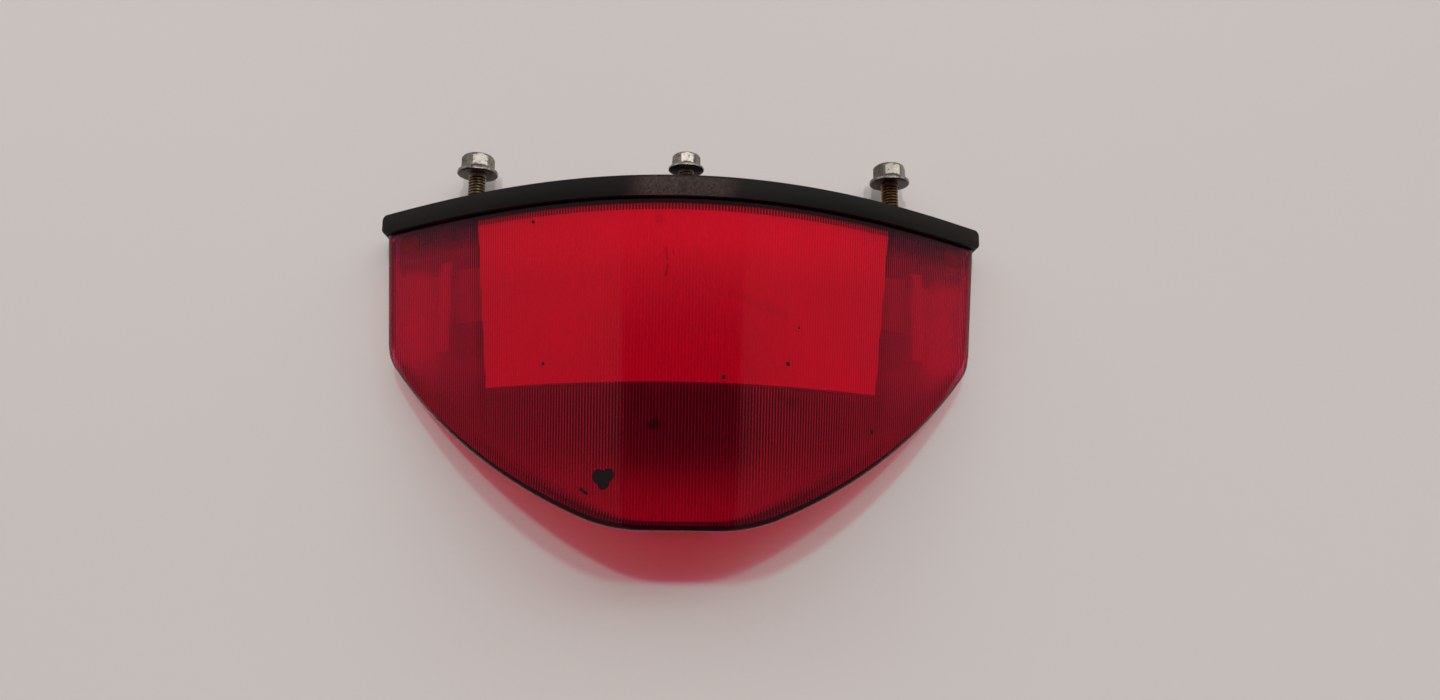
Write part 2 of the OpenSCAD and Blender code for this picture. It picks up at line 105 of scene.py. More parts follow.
def lean(a):
    """How far the foot of the lens wall leans in where the outline has slope angle a."""
    u = max(0.0, min(1.0, (a - SLANT_A) / (SIDE_A - SLANT_A)))
    return 1.35 * (1 - u * u * (3 - 2 * u))


class Outline:
    """Half outline moved inwards by d wall thicknesses and by grow, from the bottom up."""

    def __init__(self, d, grow):
        y0 = LENS_BOT + d * wall_d(0.0) + grow
        self.p = [(FLAT_X, y0, 0.0)]
        for c, r, a0, a1, n in ((C_BOT, BOTTOM_R, 0.0, SLANT_A, 60), (C_SLANT, SLANT_R, SLANT_A, SIDE_A, 160),
                                (C_SIDE, SIDE_R, SIDE_A, EDGE_A, 60)):
            for i in range(1, n + 1):
                a = a0 + (a1 - a0) * i / n
                self.p.append((*polar(c, r - d * wall_d(a) - grow, a), a))
        self.low, self.high = y0, self.p[-1][1]

    def at(self, y):
        """Half width and slope angle at a height."""
        if y <= self.low:
            return self.p[0][0], 0.0
        if y >= self.high:
            x, yy, a = self.p[-1]
            return x + (y - yy) / math.tan(EDGE_A), EDGE_A
        lo, hi = 0, len(self.p) - 1
        while hi - lo > 1:
            m = (lo + hi) // 2
            if self.p[m][1] <= y:
                lo = m
            else:
                hi = m
        p, q = self.p[lo], self.p[hi]
        t = (y - p[1]) / (q[1] - p[1])
        return p[0] + (q[0] - p[0]) * t, p[2] + (q[2] - p[2]) * t

    def column(self, cx):
        """Where the line x = narrow(y) * cx meets the outline: y and slope angle."""
        cx = abs(cx)
        if narrow(self.low) * cx <= FLAT_X:
            return self.low, 0.0
        lo, hi = self.low, self.high
        for _ in range(50):
            mid = (lo + hi) / 2
            if narrow(mid) * cx > self.at(mid)[0]:
                lo = mid
            else:
                hi = mid
        return lo, self.at(lo)[1]


def face_z(x, y, d):
    """Height of the lens face, moved inwards by d, over a point of the plan."""
    s = narrow(y)
    lo, hi = -112.0, 112.0
    for _ in range(48):
        mid = (lo + hi) / 2
        if s * inset(mid, d)[0] < x:
            lo = mid
        else:
            hi = mid
    return s * inset((lo + hi) / 2, d)[1]


# ------------------------------------------------------------------ mesh helpers
def make(name, verts, faces, body, replaces=(), smooth=35, mats=(), index=None):
    me = bpy.data.meshes.new(name)
    me.from_pydata([(x * MM, (y + YM) * MM, z * MM) for x, y, z in verts], [], faces)
    me.validate()
    for m in mats:
        me.materials.append(m)
    if index is not None:
        me.polygons.foreach_set("material_index", index)
    bm = bmesh.new()
    bm.from_mesh(me)
    bmesh.ops.recalc_face_normals(bm, faces=bm.faces)
    bm.to_mesh(me)
    bm.free()
    me.polygons.foreach_set("use_smooth", [True] * len(me.polygons))
    me.set_sharp_from_angle(angle=math.radians(smooth))
    o = bpy.data.objects.new(name, me)
    bpy.context.scene.collection.objects.link(o)
    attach(o, body)
    if replaces:
        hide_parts(*replaces)
    return o


# ------------------------------------------------------------------ node helpers
class Mat:
    def __init__(self, name):
        self.m = bpy.data.materials.new(name)
        self.m.use_nodes = True
        self.t = self.m.node_tree
        self.t.nodes.clear()
        self.out = self.n("ShaderNodeOutputMaterial")
        self.co = self.n("ShaderNodeTexCoord").outputs["Object"]

    def n(self, kind, **props):
        x = self.t.nodes.new(kind)
        for k, v in props.items():
            setattr(x, k, v)
        return x

    def put(self, node, **values):
        for k, v in values.items():
            s = node.inputs[k.replace("_", " ")]
            if isinstance(v, bpy.types.NodeSocket):
                self.t.links.new(v, s)
            else:
                s.default_value = v
        return node

    def link(self, a, b):
        self.t.links.new(a, b)

    def noise(self, scale, detail=3.0, rough=0.55, co=None, stretch=None, dist=0.0):
        co = self.co if co is None else co
        if stretch:
            mp = self.n("ShaderNodeMapping")
            mp.inputs["Scale"].default_value = stretch
            self.link(co, mp.inputs["Vector"])
            co = mp.outputs["Vector"]
        x = self.n("ShaderNodeTexNoise")
        self.put(x, Scale=scale, Detail=detail, Roughness=rough, Distortion=dist)
        self.link(co, x.inputs["Vector"])
        return x.outputs["Fac"]

    def ramp(self, fac, *stops):
        x = self.n("ShaderNodeValToRGB")
        els = x.color_ramp.elements
        while len(els) < len(stops):
            els.new(0.5)
        for e, (p, c) in zip(els, stops):
            e.position = p
            e.color = (*c, 1) if len(c) == 3 else c
        self.link(fac, x.inputs["Fac"])
        return x.outputs["Color"]

    def range(self, v, a, b, c=0.0, d=1.0, smooth=False):
        x = self.n("ShaderNodeMapRange", interpolation_type="SMOOTHSTEP" if smooth else "LINEAR")
        for i, w in zip((1, 2, 3, 4), (a, b, c, d)):
            x.inputs[i].default_value = w
        self.link(v, x.inputs[0])
        return x.outputs[0]

    def math(self, op, a, b=None):
        x = self.n("ShaderNodeMath", operation=op)
        for s, v in zip(x.inputs, (a, b)):
            if v is None:
                continue
            if isinstance(v, bpy.types.NodeSocket):
                self.link(v, s)
            else:
                s.default_value = v
        return x.outputs[0]

    def mix(self, fac, a, b):
        x = self.n("ShaderNodeMix", data_type="RGBA")
        self.link(fac, x.inputs["Factor"])
        for s, v in zip((x.inputs[6], x.inputs[7]), (a, b)):
            if isinstance(v, bpy.types.NodeSocket):
                self.link(v, s)
            else:
                s.default_value = (*v, 1)
        return x.outputs[2]

    def axis(self, i, co=None):
        x = self.n("ShaderNodeSeparateXYZ")
        self.link(self.co if co is None else co, x.inputs[0])
        return x.outputs[i]

    def beside(self):
        """Distance from the middle, measured as at the top edge of the panel, whose sides draw in downwards."""
        return self.math("ADD", self.math("ABSOLUTE", self.axis(0)),
                         self.math("MULTIPLY", self.math("SUBTRACT", (YM - 7.2) * MM, self.axis(1)), 5.2 / 53.0))

    def bump(self, height, strength, distance, normal=None):
        x = self.n("ShaderNodeBump")
        self.put(x, Strength=strength, Distance=distance)
        self.link(height, x.inputs["Height"])
        if normal is not None:
            self.link(normal, x.inputs["Normal"])
        return x.outputs["Normal"]

    def spot(self, centre, radius, wobble=0.5, soft=0.15):
        """1 inside a ragged patch of that radius (mm) about a point (mm, rim frame)."""
        c = [v * MM for v in centre]
        c[1] += YM * MM
        nz = self.n("ShaderNodeTexNoise")
        self.put(nz, Scale=0.9 / (radius * MM), Detail=3.0, Roughness=0.6)
        self.link(self.co, nz.inputs["Vector"])
        sub = self.n("ShaderNodeVectorMath", operation="DISTANCE")
        self.link(self.co, sub.inputs[0])
        sub.inputs[1].default_value = c
        d = self.math("ADD", sub.outputs["Value"], self.math("MULTIPLY", self.math("SUBTRACT", nz.outputs["Fac"], 0.5), wobble * radius * MM * 2))
        return self.range(d, radius * MM * (1 - soft), radius * MM * (1 + soft), 1.0, 0.0, True)

    def stroke(self, p, q, width):
        """1 along a thin line between two points of the plan (mm, rim frame)."""
        a = Vector((p[0] * MM, (p[1] + YM) * MM, 0))
        d = Vector((q[0] * MM, (q[1] + YM) * MM, 0)) - a
        flat = self.n("ShaderNodeVectorMath", operation="MULTIPLY")
        self.link(self.co, flat.inputs[0])
        flat.inputs[1].default_value = (1, 1, 0)
        rel = self.n("ShaderNodeVectorMath", operation="SUBTRACT")
        self.link(flat.outputs[0], rel.inputs[0])
        rel.inputs[1].default_value = a
        dot = self.n("ShaderNodeVectorMath", operation="DOT_PRODUCT")
        self.link(rel.outputs[0], dot.inputs[0])
        dot.inputs[1].default_value = d / d.length_squared
        t = self.range(dot.outputs["Value"], 0.0, 1.0)
        along = self.n("ShaderNodeVectorMath", operation="SCALE")
        along.inputs[0].default_value = d
        self.link(t, along.inputs["Scale"])
        gap = self.n("ShaderNodeVectorMath", operation="DISTANCE")
        self.link(rel.outputs[0], gap.inputs[0])
        self.link(along.outputs[0], gap.inputs[1])
        return self.range(gap.outputs["Value"], width * MM * 0.6, width * MM * 1.1, 1.0, 0.0, True)

    def shader(self, **values):
        p = self.n("ShaderNodeBsdfPrincipled")
        self.put(p, **values)
        self.link(p.outputs[0], self.out.inputs["Surface"])
        return p


LENS_CLEAR, RIB_CLEAR = 0.99, 0.64   # clear share of the lens plastic and of its rib valleys, the rest scatters


def black_plastic():
    m = Mat("black_plastic")
    grain = m.noise(2600, 2.0)
    cloud = m.noise(38, 4.0)
    fine = m.noise(420, 3.0)
    col = m.ramp(cloud, (0.3, (0.0050, 0.0032, 0.0034)), (0.7, (0.0078, 0.0050, 0.0052)))
    # dry dust in the middle of the rim, thickest beside the centre bolt, with a painted sheen there too
    film = m.math("MULTIPLY", m.spot((-1, -3, 62), 14, 0.15, 0.3), m.range(m.noise(1300, 3.0), 0.35, 0.65, 0.3, 1.0))
    film = m.math("MULTIPLY", film, m.range(m.axis(1), (YM - 1.0) * MM, (YM - 0.1) * MM, 1.0, 0.12, True))
    col = m.mix(film, col, (0.054, 0.035, 0.030))
    specks = m.math("MULTIPLY", m.spot((-8, -2.5, 62), 5, 0.6, 0.7), m.range(m.noise(2200, 2.0, 0.6), 0.55, 0.66))
    col = m.mix(m.math("MULTIPLY", specks, 0.4), col, (0.20, 0.14, 0.09))
    rough = m.range(cloud, 0.3, 0.7, 0.42, 0.58)
    h = m.math("ADD", m.math("MULTIPLY", grain, 0.5), m.math("MULTIPLY", fine, 0.5))
    p = m.shader(Base_Color=col, Roughness=rough, Normal=m.bump(h, 0.18, 0.00012))
    p.inputs["Specular IOR Level"].default_value = 0.15
    return m.m


def rubber():
    m = Mat("rubber")
    fine = m.noise(900, 3.0)
    col = m.ramp(m.noise(60), (0.3, (0.012, 0.012, 0.012)), (0.75, (0.028, 0.027, 0.026)))
    m.shader(Base_Color=col, Roughness=m.range(fine, 0.3, 0.7, 0.7, 0.9), Normal=m.bump(fine, 0.2, 0.0001))
    return m.m


def metal(name, lo, hi, r0, r1, stretch=(1, 1, 1), scale=500, tarnish=None, patch=240):
    m = Mat(name)
    a = m.noise(scale, 3.0, stretch=stretch)
    b = m.noise(90, 4.0)
    col = m.ramp(m.math("ADD", m.math("MULTIPLY", a, 0.4), m.math("MULTIPLY", b, 0.6)), (0.3, lo), (0.7, hi))
    if tarnish:
        col = m.mix(m.range(m.noise(patch, 4.0, 0.65), 0.52, 0.66), col, tarnish)
    m.shader(Base_Color=col, Metallic=1.0, Roughness=m.range(a, 0.3, 0.7, r0, r1), Normal=m.bump(a, 0.08, 0.00006))
    return m.m


def lens_material(name, share, tint=(0.86, 0.012, 0.15), low=None, centre=None, line=None):
    m = Mat(name)
    film = m.noise(55, 4.0, 0.6)
    hair = m.range(m.noise(260, 2.0, 0.5, stretch=(1.0, 0.06, 1.0)), 0.70, 0.76)
    col = m.ramp(film, (0.3, tuple(v * 1.03 for v in tint)), (0.7, tuple(v * 0.97 for v in tint)))
    # grime stuck to the outside
    dark = m.spot((-23.1, -87.5, 54.2), 2.0, 0.35)
    for c, r in (((-20.7, -87.2, 54.9), 1.7), ((-22.0, -89.3, 54.5), 1.7), ((11.8, -58.9, 57.7), 0.55),
                 ((-40.9, -54.6, 49.3), 0.5), ((30.7, -53.9, 53.4), 0.6), ((34.1, -42.9, 52.7), 0.35),
                 ((-45.8, -11.3, 49.2), 0.5), ((57.8, -71.8, 39.6), 0.55)):
        dark = m.math("MAXIMUM", dark, m.spot(c, r, 0.35, 0.2))
    for p, q, w in (((-28.3, -91.0), (-26.5, -92.3), 0.35),):
        dark = m.math("MAXIMUM", dark, m.stroke(p, q, w))
    brown = m.math("MULTIPLY", m.spot((-7.9, -72.7, 57.6), 1.8, 0.5, 0.4), 0.75)
    for c, r, k in (((28.6, -63.4, 53.6), 1.3, 0.40), ((32.4, -65.2, 52.4), 1.9, 0.35), ((57.8, -71.8, 39.6), 1.3, 0.35)):
        brown = m.math("MAXIMUM", brown, m.math("MULTIPLY", m.spot(c, r, 0.9, 0.6), k))
    brown = m.math("MAXIMUM", brown, m.math("MULTIPLY", m.spot((-7.6, -12.6, 60.1), 1.5, 0.9, 0.5), 0.3))
    for p, q, w, k in (((-5.6, -21.2), (-5.0, -24.8), 0.32, 0.4), ((-5.0, -26.4), (-5.5, -29.6), 0.38, 0.45),
                       ((-3.6, -22.3), (-3.2, -22.9), 0.3, 0.4), ((-1.2, -24.8), (3.6, -27.0), 0.22, 0.12),
                       ((14.0, -34.2), (29.5, -39.0), 1.7, 0.07)):
        brown = m.math("MAXIMUM", brown, m.math("MULTIPLY", m.stroke(p, q, w), k))
    col = m.mix(brown, col, (0.06, 0.022, 0.020))
    col = m.mix(m.range(dark, 0.0, 0.3), col, (0.008, 0.007, 0.006))
    if line is not None:                     # painted shade: the crests are darker between the panel and the fins, where the panel's side shades the tray
        crest_shade_zone = m.math("MULTIPLY", m.range(m.beside(), 63.8 * MM, 65 * MM, 0.0, 1.0, True),
                      m.range(m.math("ABSOLUTE", m.axis(0)), 71 * MM, 79 * MM, 1.0, 0.0, True))
        col = m.mix(m.math("MULTIPLY", crest_shade_zone, m.range(m.axis(1), (YM - 80) * MM, (YM - 62) * MM, 0.3, 1.0, True)), col, line)
    dirt = m.range(dark, 0.3, 1.0)
    rough = m.math("ADD", m.range(film, 0.35, 0.7, 0.02, 0.06), m.math("MULTIPLY", hair, 0.10))
    rough = m.math("ADD", rough, m.math("MULTIPLY", dirt, 0.08))
    p = m.n("ShaderNodeBsdfPrincipled")
    thru = m.range(dirt, 0.0, 1.0, share, 0.0)
    if low is not None:                      # the valleys clear up by the bottom edge, in the middle and before the panel
        ax, ay = m.math("ABSOLUTE", m.axis(0)), m.axis(1)
        more = m.math("MAXIMUM", m.range(ay, (YM - 97) * MM, (YM - 82) * MM, low - share, 0.0, True),
                      m.range(ax, 13 * MM, 24 * MM, centre - share, 0.0, True))
        more = m.math("MAXIMUM", more, m.math("MULTIPLY", m.range(m.beside(), 62.5 * MM, 65 * MM, centre - share, 0.0, True),
                                              m.range(ay, (YM - 62) * MM, (YM - 58) * MM, 0.0, 1.0, True)))
        # near the rim the valleys clear up as well, which darkens them: painted shade under the rim
        more = m.math("MAXIMUM", more, m.range(ay, (YM - 16.5) * MM, (YM - 11) * MM, 0.0, 0.93 - share, True))
        thru = m.math("ADD", thru, m.math("MULTIPLY", more, m.range(dirt, 0.0, 1.0, 1.0, 0.0)))
    m.put(p, Base_Color=col, Roughness=rough, IOR=1.49, Transmission_Weight=thru)
    clear = m.n("ShaderNodeBsdfTransparent")
    clear.inputs["Color"].default_value = (0.93, 0.10, 0.40, 1)
    path = m.n("ShaderNodeLightPath")
    mix = m.n("ShaderNodeMixShader")
    m.link(path.outputs["Is Shadow Ray"], mix.inputs[0])
    m.link(p.outputs[0], mix.inputs[1])
    m.link(clear.outputs[0], mix.inputs[2])
    m.link(mix.outputs[0], m.out.inputs["Surface"])
    return m.m


def reflex_material():
    m = Mat("red_reflex")
    cloud = m.noise(30, 3.0)
    cells = m.n("ShaderNodeTexVoronoi")
    cells.inputs["Scale"].default_value = 420
    m.link(m.co, cells.inputs["Vector"])
    col = m.ramp(cloud, (0.3, (0.60, 0.08, 0.36)), (0.7, (0.66, 0.09, 0.40)))
    # painted shade: the panel is darker in its bottom middle
    fade = m.math("MULTIPLY", m.spot((0, -56, 56), 26, 0.1, 0.6), 0.6)
    col = m.mix(fade, col, (0.38, 0.05, 0.24))
    # painted light: the panel is lighter towards its top edge
    col = m.mix(m.range(m.axis(1), (YM - 32) * MM, (YM - 10) * MM, 0.0, 1.0, True), col, (0.82, 0.11, 0.50))
    # painted shade: darker beyond the panel's drawn-in sides, on its tabs
    col = m.mix(m.range(m.beside(), 64.05 * MM, 64.5 * MM, 0.0, 0.75), col, (0.16, 0.02, 0.08))
    p = m.shader(Base_Color=col, Roughness=0.6, Normal=m.bump(cells.outputs["Distance"], 0.15, 0.0002))
    p.inputs["Specular IOR Level"].default_value = 0.0
    return m.m


def tray_material():
    """Bright at the sides and again along the slanted and bottom edges, with painted shade low in the middle and under
    the roof, and painted light on the fin folds.
    """
    m = Mat("bright_aluminium")
    a, b = m.noise(500, 3.0), m.noise(90, 4.0)
    col = m.ramp(m.math("ADD", m.math("MULTIPLY", a, 0.4), m.math("MULTIPLY", b, 0.6)), (0.3, (0.50, 0.48, 0.42)), (0.7, (0.60, 0.58, 0.50)))
    x, y = m.math("ABSOLUTE", m.axis(0)), m.axis(1)
    slant = m.math("SUBTRACT", m.math("MULTIPLY", x, 0.63), m.math("MULTIPLY", m.math("SUBTRACT", y, YM * MM), 0.78))
    edge = m.math("MAXIMUM", m.range(slant, 90 * MM, 108 * MM, 0.0, 1.0, True),
                  m.range(y, (YM - 98) * MM, (YM - 72) * MM, 0.7, 0.0, True))
    # painted shade: dark below the panel, except near the slanted and bottom edges, and along the top under the roof
    tray_painted_shade = m.math("MULTIPLY", m.range(y, (YM - 60) * MM, (YM - 42) * MM, 1.0, 0.0, True), m.math("SUBTRACT", 1.0, edge))
    tray_painted_shade = m.math("MAXIMUM", tray_painted_shade, m.range(y, (YM - 19.5) * MM, (YM - 13.5) * MM, 0.0, 1.0, True))
    col = m.mix(m.math("MULTIPLY", tray_painted_shade, 0.95), col, (0.014, 0.012, 0.012))
    # painted light: the fins are lighter higher up, towards their folded tops
    fin_fold_light = m.math("MULTIPLY", m.range(m.axis(2), 9 * MM, 18 * MM), m.range(x, 74.6 * MM, 76.4 * MM, 1.0, 0.3, True))
    col = m.mix(fin_fold_light, col, (0.66, 0.65, 0.60))
    m.shader(Base_Color=col, Metallic=0.5, Roughness=m.range(a, 0.3, 0.7, 0.42, 0.55), Normal=m.bump(a, 0.08, 0.00006))
    return m.m


def glass():
    m = Mat("bulb_glass")
    m.shader(Base_Color=(0.97, 0.98, 0.98, 1), Roughness=m.range(m.noise(120), 0.3, 0.7, 0.0, 0.04), IOR=1.5)
    m.t.nodes["Principled BSDF"].inputs["Transmission Weight"].default_value = 1.0
    return m.m


def fibre():
    m = Mat("brown_board")
    fine = m.noise(900, 4.0)
    col = m.ramp(m.noise(140, 4.0), (0.3, (0.16, 0.075, 0.03)), (0.7, (0.30, 0.15, 0.06)))
    m.shader(Base_Color=col, Roughness=0.7, Normal=m.bump(fine, 0.2, 0.0001))
    return m.m


BLACK, RUBBER, REFLEX, GLASS, FIBRE = black_plastic(), rubber(), reflex_material(), glass(), fibre()
LENS = lens_material("red_lens", LENS_CLEAR)
LENS_RIB = lens_material("red_lens_ribs", RIB_CLEAR, (0.86, 0.03, 0.14), 0.86, 0.86)
LENS_SIDE = lens_material("red_lens_sides", 0.68)
# painted shade: a near-black lens tint for the row where the ribs start under the rim
LENS_TOOTH_SHADE = lens_material("red_lens_teeth_shaded", 0.9, (0.05, 0.005, 0.008))
# painted shade: crests beside the panel get a darker tint
LENS_CREST_SHADED = lens_material("red_lens_crests_shaded", LENS_CLEAR, line=(0.30, 0.006, 0.05))
# painted shade: the screw posts get a darker tint, as they sit in the rim's shade
LENS_POST_SHADED = lens_material("red_lens_posts_shaded", 0.86, (0.55, 0.01, 0.09))
BRIGHT = tray_material()
PLATED = metal("plated_steel", (0.50, 0.49, 0.45), (0.70, 0.69, 0.65), 0.25, 0.42, tarnish=(0.42, 0.36, 0.24))
ZINC = metal("zinc_steel", (0.10, 0.093, 0.08), (0.32, 0.30, 0.265), 0.14, 0.30, scale=900, tarnish=(0.042, 0.036, 0.029), patch=620)
# grime, and painted shade under the flange where it faces the floor
GRIME_AND_SHADE = metal("grimy_steel_and_shade", (0.045, 0.04, 0.035), (0.13, 0.115, 0.10), 0.30, 0.5, scale=700, tarnish=(0.03, 0.022, 0.016))
RUSTY = metal("rusty_thread", (0.32, 0.16, 0.08), (0.60, 0.35, 0.19), 0.35, 0.6, scale=700, tarnish=(0.17, 0.07, 0.03))
DULL = metal("dull_thread", (0.36, 0.29, 0.20), (0.68, 0.57, 0.41), 0.35, 0.6, scale=700, tarnish=(0.20, 0.12, 0.06))
ROOTS = metal("thread_roots", (0.04, 0.025, 0.015), (0.11, 0.065, 0.038), 0.5, 0.7, scale=700)
BRASS = metal("brass", (0.55, 0.38, 0.13), (0.78, 0.58, 0.24), 0.25, 0.42, tarnish=(0.32, 0.20, 0.08))
WIRE = metal("wire", (0.30, 0.30, 0.32), (0.48, 0.48, 0.50), 0.25, 0.4)

SLOT_MATS = {
    "black_plastic": BLACK, "red_lens": LENS, "red_reflex": REFLEX, "rubber": RUBBER,
    "bright_aluminium": BRIGHT, "plated_steel": PLATED, "zinc_steel": ZINC,
    "spring_steel": WIRE, "brass": BRASS, "brown_board": FIBRE, "glass": GLASS, "wire": WIRE,
}
for sp in frame["record"]["subparts"]:
    o = N[sp["node"]]
    o.data.materials.clear()
    o.data.materials.append(SLOT_MATS[sp["material_slot"]])


# ------------------------------------------------------------------ ribbed lens
def build_lens():
    pitch, depth, per = 1.025, 0.08, 10
    fil = 1.0
    d_out, d_in = LENS_IN, LENS_IN + LENS_T
    rim, core = Outline(0, fil), Outline(1, 0.0)
    # rib lines: steps along the curve, closer where it falls away
    edge = RIM_W / 2 - LENS_IN - fil
    half, q, k = [], 0.0, 0
    while inset(q, d_out)[0] < edge - 0.4:
        half.append((q, k))
        q += pitch / per / (1 + rim_slope(q) ** 2) ** 0.875
        k += 1
    cols = [(-a, -b) for a, b in reversed(half[1:])] + half
    arc_r = (pitch * pitch / 4 + depth * depth) / (2 * depth)

    def rib(k):
        t = (k % per) / per * 2 - 1          # -1 in the valley, 0 on the crest
        return max(0.0, math.sqrt(arc_r ** 2 - (t * pitch / 2) ** 2) - (arc_r - depth))

    ys_top = [LENS_TOP, -6.2, -6.7, -7.2, -9.3]
    n_low, n_top = 12, len(ys_top)

    def rows(y_end):
        return ys_top + [ys_top[-1] + (y_end - ys_top[-1]) * (i + 1) / n_low for i in range(n_low)]

    n_bez, n_wall, n_in = 5, 4, 3

    def profile(a_pt, ang, sx, i_pt):
        """Points from a face edge round the fillet, down the wall and up inside to an inner edge."""
        nx, ny = sx * math.sin(ang), -math.cos(ang)
        e = (a_pt[0] + fil * nx, a_pt[1] + fil * ny)
        ze = face_z(e[0], e[1], d_out)
        b = (e[0], e[1], ze - fil)
        pts = []
        for i in range(1, n_bez + 1):
            t = i / n_bez
            w = ((1 - t) ** 2, 2 * t * (1 - t), t * t)
            pts.append(tuple(w[0] * a_pt[j] + w[1] * (e[0], e[1], ze)[j] + w[2] * b[j] for j in range(3)))
        draft = lean(ang)                    # the bottom wall leans in towards its foot
        for i in range(1, n_wall + 1):
            t = draft * i / n_wall
            pts.append((e[0] - t * nx, e[1] - t * ny, b[2] + (LENS_Z - b[2]) * i / n_wall))
        for i in range(n_in):
            pts.append((i_pt[0], i_pt[1], LENS_Z + (i_pt[2] - LENS_Z) * i / n_in))
        return pts

    verts, faces, strips, sides = [], [], [], {}
    for side, c in [(-1, None)] + [(0, c) for c in cols] + [(1, None)]:
        if side:                             # the edge columns lie on the outline's straight sides
            sx, ang = side, EDGE_A
            outer = [(sx * rim.at(y)[0], y) for y in rows(rim.high)]
            outer = [(x, y, face_z(x, y, d_out)) for x, y in outer]
            inner = [(sx * core.at(y)[0], y) for y in rows(core.high)]
            inner = [(x, y, face_z(x, y, d_in)) for x, y in inner]
        else:
            q, k = c
            sx = 1 if q >= 0 else -1
            xo, zo = inset(q, d_out)
            y_o, ang = rim.column(xo)
            outer = [(narrow(y) * xo, y, narrow(y) * zo) for y in rows(y_o)]
            y_i, _ = core.column(inset(q, d_in)[0])
            u = max(0.0, min(1.0, (abs(q) - 66) / 4))
            deeper = 1 + 1.6 * u * u * (3 - 2 * u)           # bolder ribs on the side panes
            inner = []
            for j, y in enumerate(rows(y_i)):
                fade = min(1.0, (n_top + n_low - 1 - j) / 1.5) if j >= n_top - 2 else 0.0
                xi, zi = inset(q, d_in + rib(k) * fade * deeper)
                inner.append((narrow(y) * xi, y, narrow(y) * zi))
        idx = []
        for p in outer + profile(outer[-1], ang, sx, inner[-1]) + inner[::-1]:
            idx.append(len(verts))
            verts.append(p)
        if side:
            sides[side] = (outer, inner, len(strips))
        strips.append(idx)
    n, index = len(strips[0]), []
    first_rib = n - (n_top + n_low)
    for c, (a, b) in enumerate(zip(strips, strips[1:])):
        valley = 0 < c < len(strips) - 2 and (cols[c - 1][1] % per) in (per - 2, per - 1, 0, 1)
        crest = 0 < c < len(strips) - 2 and not valley and 60 < abs(cols[c - 1][0]) < 84
        tooth = 0 < c < len(strips) - 2 and (cols[c - 1][1] % per) in (per - 3, per - 2, per - 1, 0, 1, 2)
        for i in range(n):
            j = (i + 1) % n
            faces.append((a[i], a[j], b[j], b[i]))
            # index 3 is the painted-shade row of rib teeth; index 5 gives the crests beside the panel their painted
            # shade
            index.append((1 if valley else 5) if (valley or crest) and first_rib <= i < n - n_top else 3 if tooth and i == n - n_top
                         else 2 if i == n_top + n_low - 1 + n_bez + n_wall else 0)
    # side walls, row by row down the straight edges
    n_rows = n_top + n_low
    n_prof = n_bez + n_wall + n_in
    for side, (outer, inner, s) in sides.items():
        idx = strips[s]
        prev = None
        for j in range(n_rows):
            if j == n_rows - 1:
                ring = idx[n_rows - 1:n_rows + n_prof + 1]
            else:
                ring = [idx[j]]
                for p in profile(outer[j], EDGE_A, side, inner[j]):
                    ring.append(len(verts))
                    verts.append(p)
                ring.append(idx[n - 1 - j])
            if prev is None:
                faces.append(tuple(ring))
            else:
                for i in range(len(ring) - 1):
                    faces.append((prev[i], prev[i + 1], ring[i + 1], ring[i]))
                    index += [0] * (len(faces) - 1 - len(index)) + [2 if n_bez <= i < n_bez + n_wall else 0]
            prev = ring

    # screw posts with their pilot holes
    def post(cx, cy, z0, r, hole, zh, n=32):
        def circle(rad, z):
            base = len(verts)
            for i in range(n):
                x, y = cx + rad * math.cos(2 * math.pi * i / n), cy + rad * math.sin(2 * math.pi * i / n)
                verts.append((x, y, z if z is not None else face_z(x, y, d_in) + 0.02))
            return base

        top, bot, h0, h1 = circle(r, None), circle(r, z0), circle(hole, z0), circle(hole, zh)
        for i in range(n):
            j = (i + 1) % n
            for a, b in ((top, bot), (bot, h0), (h0, h1)):
                faces.append((a + i, a + j, b + j, b + i))
        faces.append(tuple(top + i for i in range(n)))
        faces.append(tuple(h1 + i for i in range(n)))

    index += [0] * (len(faces) - len(index))
    for s in (-1, 1):
        post(s * 89, -10.5, LENS_Z, 3.6, 1.5, 14.2)
    index += [4] * (len(faces) - len(index))

    # hook along the flat of the bottom wall
    hx, y0, y1 = FLAT_X - 0.4, LENS_BOT + 2.3, LENS_BOT + WALL_LOW - 0.02
    ell = [(y1, 0.9), (y0 + 2.6, 0.9), (y0 + 2.6, 1.8), (y0 + 1.5, 1.8), (y0 + 1.5, 9.2), (y1, 9.2)]
    base = len(verts)
    for x in (-hx, hx):
        for y, z in ell:
            verts.append((x, y, z))
    for i in range(6):
        j = (i + 1) % 6
        faces.append((base + i, base + j, base + 6 + j, base + 6 + i))
    faces.append(tuple(base + i for i in range(6)))
    faces.append(tuple(base + 6 + i for i in range(6)))
    index += [0] * (len(faces) - len(index))
    return make("lens_ribbed", verts, faces, "lamp", ("lens",), 30, (LENS, LENS_RIB, LENS_SIDE, LENS_TOOTH_SHADE, LENS_POST_SHADED, LENS_CREST_SHADED), index)


build_lens()


